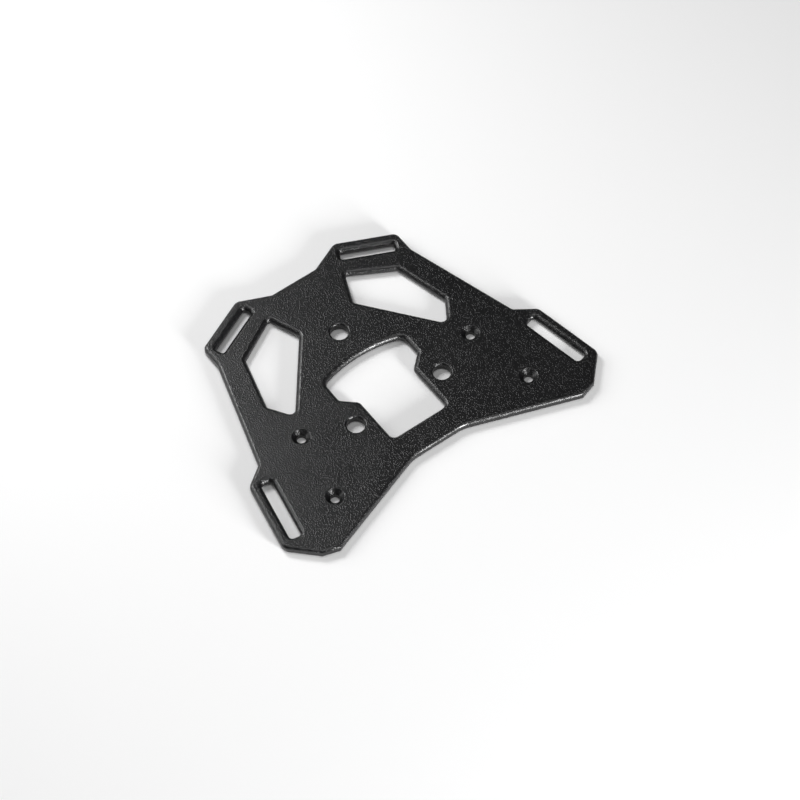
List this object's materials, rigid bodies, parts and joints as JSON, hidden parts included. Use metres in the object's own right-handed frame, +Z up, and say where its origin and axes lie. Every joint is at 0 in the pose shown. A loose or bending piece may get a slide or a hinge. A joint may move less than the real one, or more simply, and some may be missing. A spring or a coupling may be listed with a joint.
{
  "type": "motorcycle luggage rack",
  "caption": "Flat luggage rack plate with strap slots in its lobes, angular cut-outs, plain bolt holes and countersunk screw holes.",
  "frame": {"origin": "centre of the bounding box on the underside of the plate", "axes": "+X across the plate to its right, +Y towards the end with the two narrower lobes, +Z up through the flat top face"},
  "size_m": [0.2648, 0.2048, 0.0067],
  "materials": {
    "black_powder_coat": "fine textured satin powder coat"
  },
  "bodies": {
    "root": {"rack_plate": "black_powder_coat"}
  },
  "joints": []
}
